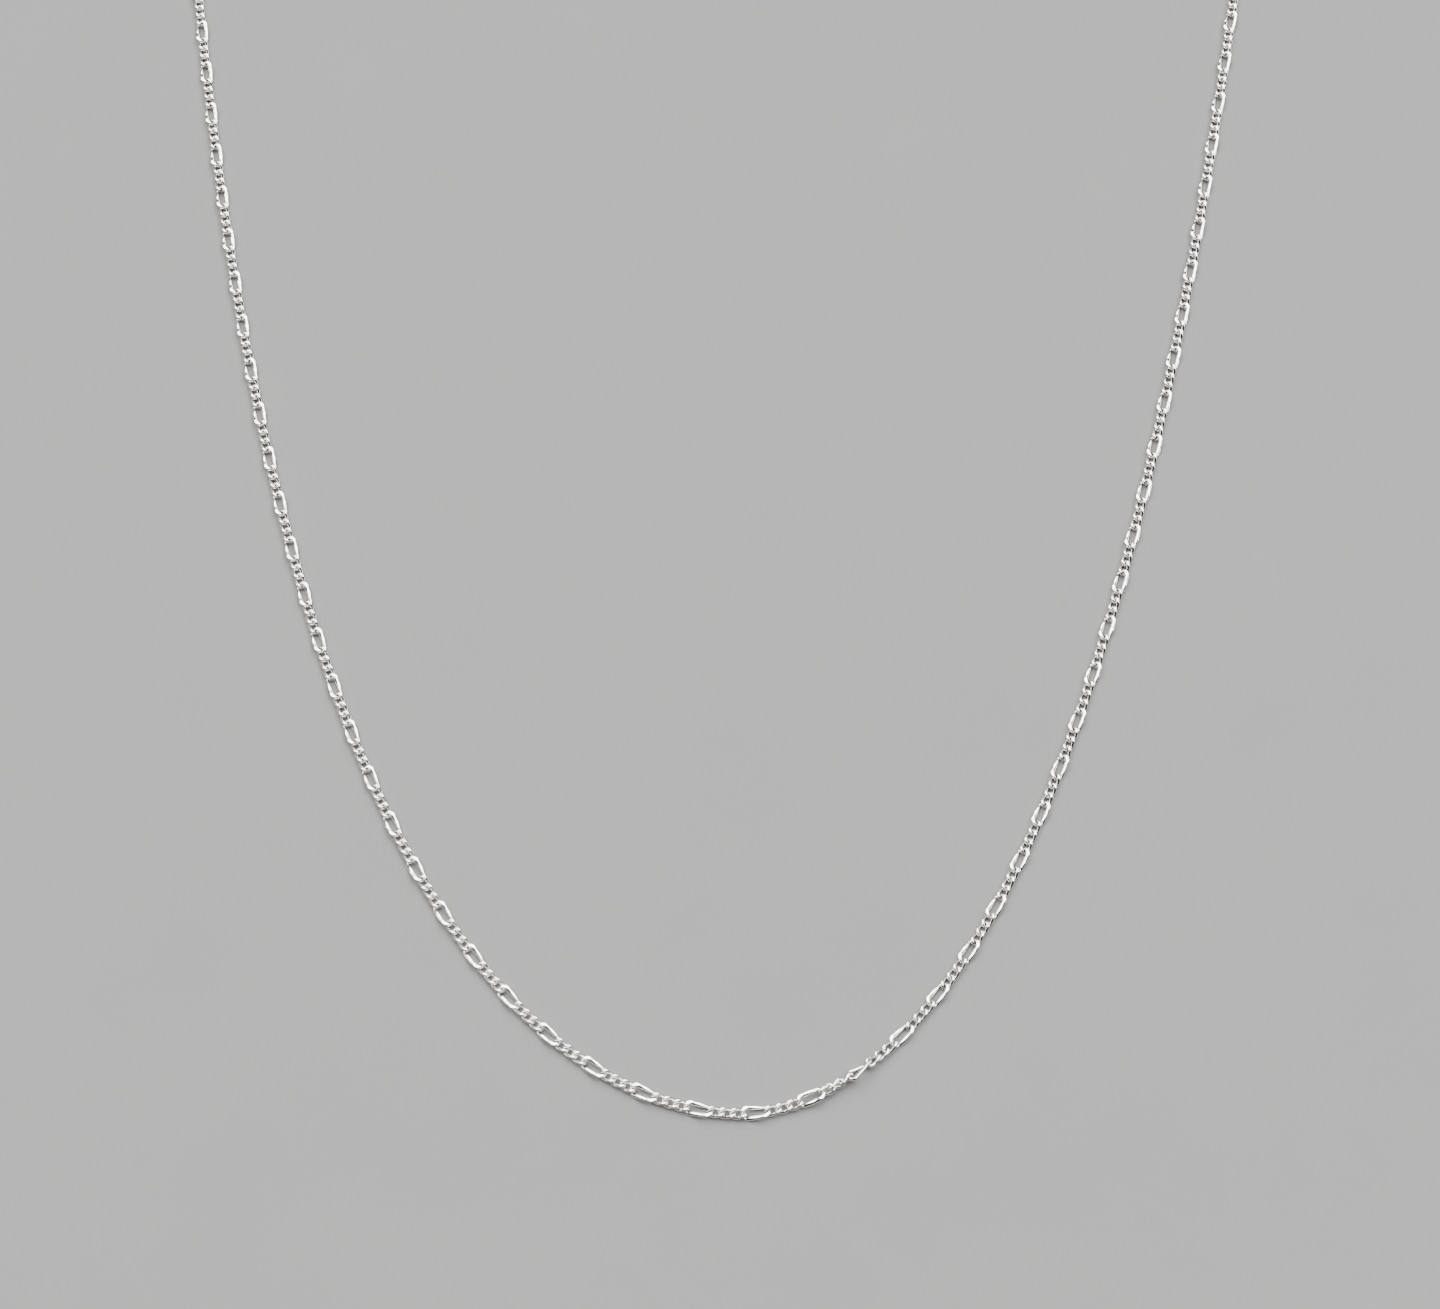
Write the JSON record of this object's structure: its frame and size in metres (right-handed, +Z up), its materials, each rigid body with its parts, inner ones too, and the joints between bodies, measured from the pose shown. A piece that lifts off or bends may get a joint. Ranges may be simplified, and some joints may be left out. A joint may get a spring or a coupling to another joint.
{
  "type": "chain necklace",
  "caption": "Fine silver figaro chain necklace laid open in a U, with a lobster clasp and a catch ring at its ends.",
  "frame": {"origin": "middle of the laid-out necklace, on the surface it lies on", "axes": "+Z up from the surface, +Y along the two arms towards the clasp end, +X to the right arm"},
  "size_m": [0.1483, 0.2451, 0.002],
  "materials": {
    "polished_silver": "polished sterling silver",
    "clasp_silver": "polished cast sterling silver",
    "spring_steel": "bright drawn"
  },
  "bodies": {
    "length_01": {"links_01": "polished_silver"},
    "length_02": {"links_02": "polished_silver"},
    "length_03": {"links_03": "polished_silver"},
    "length_04": {"links_04": "polished_silver"},
    "length_05": {"links_05": "polished_silver"},
    "length_06": {"links_06": "polished_silver"},
    "length_07": {"links_07": "polished_silver"},
    "length_08": {"links_08": "polished_silver"},
    "length_09": {"links_09": "polished_silver"},
    "length_10": {"links_10": "polished_silver"},
    "length_11": {"links_11": "polished_silver"},
    "length_12": {"links_12": "polished_silver"},
    "length_13": {"links_13": "polished_silver"},
    "length_14": {"links_14": "polished_silver"},
    "length_15": {"links_15": "polished_silver"},
    "length_16": {"links_16": "polished_silver"},
    "length_17": {"links_17": "polished_silver"},
    "length_18": {"links_18": "polished_silver"},
    "length_19": {"links_19": "polished_silver"},
    "length_20": {"links_20": "polished_silver"},
    "length_21": {"links_21": "polished_silver"},
    "length_22": {"links_22": "polished_silver"},
    "length_23": {"links_23": "polished_silver"},
    "length_24": {"links_24": "polished_silver"},
    "length_25": {"links_25": "polished_silver"},
    "length_26": {"links_26": "polished_silver"},
    "length_27": {"links_27": "polished_silver"},
    "length_28": {"links_28": "polished_silver"},
    "length_29": {"links_29": "polished_silver"},
    "length_30": {"links_30": "polished_silver"},
    "length_31": {"links_31": "polished_silver"},
    "length_32": {"links_32": "polished_silver"},
    "length_33": {"links_33": "polished_silver"},
    "length_34": {"links_34": "polished_silver"},
    "length_35": {"links_35": "polished_silver"},
    "length_36": {"links_36": "polished_silver"},
    "length_37": {"links_37": "polished_silver"},
    "length_38": {"links_38": "polished_silver"},
    "length_39": {"links_39": "polished_silver"},
    "length_40": {"links_40": "polished_silver"},
    "length_41": {"links_41": "polished_silver"},
    "length_42": {"links_42": "polished_silver"},
    "length_43": {"links_43": "polished_silver"},
    "length_44": {"links_44": "polished_silver"},
    "length_45": {"links_45": "polished_silver"},
    "length_46": {"links_46": "polished_silver"},
    "length_47": {"links_47": "polished_silver"},
    "length_48": {"links_48": "polished_silver"},
    "length_49": {"links_49": "polished_silver"},
    "length_50": {"links_50": "polished_silver"},
    "length_51": {"links_51": "polished_silver"},
    "length_52": {"links_52": "polished_silver"},
    "catch_ring": {"catch_ring": "polished_silver"},
    "clasp_ring": {"clasp_ring": "polished_silver"},
    "clasp": {"clasp_body": "clasp_silver", "clasp_rivet": "clasp_silver", "clasp_spring": "spring_steel"},
    "clasp_lever": {"clasp_lever": "clasp_silver"}
  },
  "joints": [
    {"name": "catch_ring_swing", "type": "hinge", "parent": "length_01", "child": "catch_ring", "pos_m": [-0.07156, 0.0986, 0.00086], "axis": [0.9924, 0.1231, 0], "range_deg": [-2, 30]},
    {"name": "clasp_ring_swing", "type": "hinge", "parent": "length_52", "child": "clasp_ring", "pos_m": [0.07108, 0.1117, 0.00086], "axis": [0.9967, -0.0812, 0], "range_deg": [-2, 20]},
    {"name": "clasp_swing", "type": "hinge", "parent": "clasp_ring", "child": "clasp", "pos_m": [0.07128, 0.11411, 0.00102], "axis": [0, 0, 1], "range_deg": [-30, 30]},
    {"name": "clasp_lever_open", "type": "hinge", "parent": "clasp", "child": "clasp_lever", "pos_m": [0.07059, 0.11733, 0.001], "axis": [0, 0, -1], "range_deg": [0, 25]},
    {"name": "edge_bend_26", "type": "hinge", "parent": "length_26", "child": "length_27", "pos_m": [0.01056, -0.1219, 0.00055], "axis": [0, 0, 1], "range_deg": [-12, 12]},
    {"name": "face_bend_27", "type": "hinge", "parent": "length_27", "child": "length_28", "pos_m": [0.01611, -0.1205, 0.0007], "axis": [0.4175, -0.9087, 0], "range_deg": [0, 13]},
    {"name": "edge_bend_28", "type": "hinge", "parent": "length_28", "child": "length_29", "pos_m": [0.02106, -0.1176, 0.00085], "axis": [0, 0, 1], "range_deg": [-12, 12]},
    {"name": "face_bend_29", "type": "hinge", "parent": "length_29", "child": "length_30", "pos_m": [0.02532, -0.11374, 0.00055], "axis": [-0.7397, 0.6729, 0], "range_deg": [-13, 13]},
    {"name": "edge_bend_30", "type": "hinge", "parent": "length_30", "child": "length_31", "pos_m": [0.02897, -0.1093, 0.00055], "axis": [0, 0, -1], "range_deg": [-12, 12]},
    {"name": "face_bend_31", "type": "hinge", "parent": "length_31", "child": "length_32", "pos_m": [0.03212, -0.10449, 0.00055], "axis": [0.8637, -0.504, 0], "range_deg": [-13, 13]},
    {"name": "edge_bend_32", "type": "hinge", "parent": "length_32", "child": "length_33", "pos_m": [0.03487, -0.09945, 0.00055], "axis": [0, 0, -1], "range_deg": [-12, 12]},
    {"name": "face_bend_33", "type": "hinge", "parent": "length_33", "child": "length_34", "pos_m": [0.03732, -0.09424, 0.00055], "axis": [-0.9179, 0.3969, 0], "range_deg": [-13, 13]},
    {"name": "edge_bend_34", "type": "hinge", "parent": "length_34", "child": "length_35", "pos_m": [0.03951, -0.08893, 0.00055], "axis": [0, 0, 1], "range_deg": [-12, 12]},
    {"name": "face_bend_35", "type": "hinge", "parent": "length_35", "child": "length_36", "pos_m": [0.04149, -0.08353, 0.00055], "axis": [0.9454, -0.3259, 0], "range_deg": [-13, 13]},
    {"name": "edge_bend_36", "type": "hinge", "parent": "length_36", "child": "length_37", "pos_m": [0.04497, -0.07257, 0.00055], "axis": [0, 0, 1], "range_deg": [-12, 12]},
    {"name": "face_bend_37", "type": "hinge", "parent": "length_37", "child": "length_38", "pos_m": [0.04794, -0.06146, 0.00055], "axis": [-0.9709, 0.2395, 0], "range_deg": [-13, 13]},
    {"name": "edge_bend_38", "type": "hinge", "parent": "length_38", "child": "length_39", "pos_m": [0.05054, -0.05026, 0.00055], "axis": [0, 0, -1], "range_deg": [-12, 12]},
    {"name": "face_bend_39", "type": "hinge", "parent": "length_39", "child": "length_40", "pos_m": [0.05286, -0.039, 0.00055], "axis": [0.9819, -0.1893, 0], "range_deg": [-13, 13]},
    {"name": "edge_bend_40", "type": "hinge", "parent": "length_40", "child": "length_41", "pos_m": [0.05494, -0.02769, 0.00055], "axis": [0, 0, -1], "range_deg": [-12, 12]},
    {"name": "face_bend_41", "type": "hinge", "parent": "length_41", "child": "length_42", "pos_m": [0.05683, -0.01634, 0.00055], "axis": [-0.9876, 0.1568, 0], "range_deg": [-13, 13]},
    {"name": "edge_bend_42", "type": "hinge", "parent": "length_42", "child": "length_43", "pos_m": [0.05857, -0.00498, 0.00055], "axis": [0, 0, 1], "range_deg": [-12, 12]},
    {"name": "face_bend_43", "type": "hinge", "parent": "length_43", "child": "length_44", "pos_m": [0.06018, 0.00641, 0.00055], "axis": [0.991, -0.1339, 0], "range_deg": [-13, 13]},
    {"name": "edge_bend_44", "type": "hinge", "parent": "length_44", "child": "length_45", "pos_m": [0.06167, 0.01782, 0.00055], "axis": [0, 0, 1], "range_deg": [-12, 12]},
    {"name": "face_bend_45", "type": "hinge", "parent": "length_45", "child": "length_46", "pos_m": [0.06306, 0.02923, 0.00055], "axis": [-0.9931, 0.1169, 0], "range_deg": [-13, 13]},
    {"name": "edge_bend_46", "type": "hinge", "parent": "length_46", "child": "length_47", "pos_m": [0.06437, 0.04066, 0.00055], "axis": [0, 0, -1], "range_deg": [-12, 12]},
    {"name": "face_bend_47", "type": "hinge", "parent": "length_47", "child": "length_48", "pos_m": [0.0656, 0.05209, 0.00055], "axis": [0.9946, -0.1039, 0], "range_deg": [-13, 13]},
    {"name": "edge_bend_48", "type": "hinge", "parent": "length_48", "child": "length_49", "pos_m": [0.06677, 0.06353, 0.00055], "axis": [0, 0, -1], "range_deg": [-12, 12]},
    {"name": "face_bend_49", "type": "hinge", "parent": "length_49", "child": "length_50", "pos_m": [0.06788, 0.07498, 0.00055], "axis": [-0.9956, 0.0935, 0], "range_deg": [-13, 13]},
    {"name": "edge_bend_50", "type": "hinge", "parent": "length_50", "child": "length_51", "pos_m": [0.06893, 0.08643, 0.00055], "axis": [0, 0, 1], "range_deg": [-12, 12]},
    {"name": "face_bend_51", "type": "hinge", "parent": "length_51", "child": "length_52", "pos_m": [0.06993, 0.09788, 0.00073], "axis": [0.9964, -0.0851, 0], "range_deg": [-13, 13]},
    {"name": "edge_bend_25", "type": "hinge", "parent": "length_26", "child": "length_25", "pos_m": [0.00484, -0.12148, 0.00055], "axis": [0, 0, -1], "range_deg": [-12, 12]},
    {"name": "face_bend_24", "type": "hinge", "parent": "length_25", "child": "length_24", "pos_m": [-0.00065, -0.11979, 0.00055], "axis": [0.3669, 0.9303, 0], "range_deg": [0, 13]},
    {"name": "edge_bend_23", "type": "hinge", "parent": "length_24", "child": "length_23", "pos_m": [-0.00574, -0.11713, 0.00055], "axis": [0, 0, -1], "range_deg": [-12, 12]},
    {"name": "face_bend_22", "type": "hinge", "parent": "length_23", "child": "length_22", "pos_m": [-0.01037, -0.11373, 0.00055], "axis": [-0.633, -0.7741, 0], "range_deg": [-13, 13]},
    {"name": "edge_bend_21", "type": "hinge", "parent": "length_22", "child": "length_21", "pos_m": [-0.01455, -0.10978, 0.00055], "axis": [0, 0, 1], "range_deg": [-12, 12]},
    {"name": "face_bend_20", "type": "hinge", "parent": "length_21", "child": "length_20", "pos_m": [-0.01833, -0.10545, 0.00055], "axis": [0.7749, 0.6321, 0], "range_deg": [-13, 13]},
    {"name": "edge_bend_19", "type": "hinge", "parent": "length_20", "child": "length_19", "pos_m": [-0.02176, -0.10084, 0.00055], "axis": [0, 0, 1], "range_deg": [-12, 12]},
    {"name": "face_bend_18", "type": "hinge", "parent": "length_19", "child": "length_18", "pos_m": [-0.02488, -0.09601, 0.00055], "axis": [-0.8516, -0.5242, 0], "range_deg": [-13, 13]},
    {"name": "edge_bend_17", "type": "hinge", "parent": "length_18", "child": "length_17", "pos_m": [-0.02774, -0.09102, 0.00055], "axis": [0, 0, -1], "range_deg": [-12, 12]},
    {"name": "face_bend_16", "type": "hinge", "parent": "length_17", "child": "length_16", "pos_m": [-0.03282, -0.08071, 0.00055], "axis": [0.9111, 0.4121, 0], "range_deg": [-13, 13]},
    {"name": "edge_bend_15", "type": "hinge", "parent": "length_16", "child": "length_15", "pos_m": [-0.03721, -0.07008, 0.00055], "axis": [0, 0, -1], "range_deg": [-12, 12]},
    {"name": "face_bend_14", "type": "hinge", "parent": "length_15", "child": "length_14", "pos_m": [-0.04107, -0.05925, 0.00055], "axis": [-0.9479, -0.3185, 0], "range_deg": [-13, 13]},
    {"name": "edge_bend_13", "type": "hinge", "parent": "length_14", "child": "length_13", "pos_m": [-0.04452, -0.04828, 0.00055], "axis": [0, 0, 1], "range_deg": [-12, 12]},
    {"name": "face_bend_12", "type": "hinge", "parent": "length_13", "child": "length_12", "pos_m": [-0.04763, -0.03721, 0.00055], "axis": [0.9659, 0.259, 0], "range_deg": [-13, 13]},
    {"name": "edge_bend_11", "type": "hinge", "parent": "length_12", "child": "length_11", "pos_m": [-0.05046, -0.02606, 0.00055], "axis": [0, 0, 1], "range_deg": [-12, 12]},
    {"name": "face_bend_10", "type": "hinge", "parent": "length_11", "child": "length_10", "pos_m": [-0.05307, -0.01486, 0.00055], "axis": [-0.9759, -0.2183, 0], "range_deg": [-13, 13]},
    {"name": "edge_bend_09", "type": "hinge", "parent": "length_10", "child": "length_09", "pos_m": [-0.05547, -0.00362, 0.00055], "axis": [0, 0, -1], "range_deg": [-12, 12]},
    {"name": "face_bend_08", "type": "hinge", "parent": "length_09", "child": "length_08", "pos_m": [-0.05771, 0.00766, 0.00055], "axis": [0.982, 0.1887, 0], "range_deg": [-13, 13]},
    {"name": "edge_bend_07", "type": "hinge", "parent": "length_08", "child": "length_07", "pos_m": [-0.0598, 0.01897, 0.00055], "axis": [0, 0, -1], "range_deg": [-12, 12]},
    {"name": "face_bend_06", "type": "hinge", "parent": "length_07", "child": "length_06", "pos_m": [-0.06177, 0.0303, 0.00055], "axis": [-0.9861, -0.1662, 0], "range_deg": [-13, 13]},
    {"name": "edge_bend_05", "type": "hinge", "parent": "length_06", "child": "length_05", "pos_m": [-0.06362, 0.04165, 0.00055], "axis": [0, 0, 1], "range_deg": [-12, 12]},
    {"name": "face_bend_04", "type": "hinge", "parent": "length_05", "child": "length_04", "pos_m": [-0.06537, 0.05302, 0.00055], "axis": [0.9889, 0.1487, 0], "range_deg": [-13, 13]},
    {"name": "edge_bend_03", "type": "hinge", "parent": "length_04", "child": "length_03", "pos_m": [-0.06703, 0.0644, 0.00055], "axis": [0, 0, 1], "range_deg": [-12, 12]},
    {"name": "face_bend_02", "type": "hinge", "parent": "length_03", "child": "length_02", "pos_m": [-0.06861, 0.07579, 0.00056], "axis": [-0.9909, -0.1345, 0], "range_deg": [-13, 13]},
    {"name": "edge_bend_01", "type": "hinge", "parent": "length_02", "child": "length_01", "pos_m": [-0.07012, 0.08719, 0.00076], "axis": [0, 0, -1], "range_deg": [-12, 12]}
  ]
}
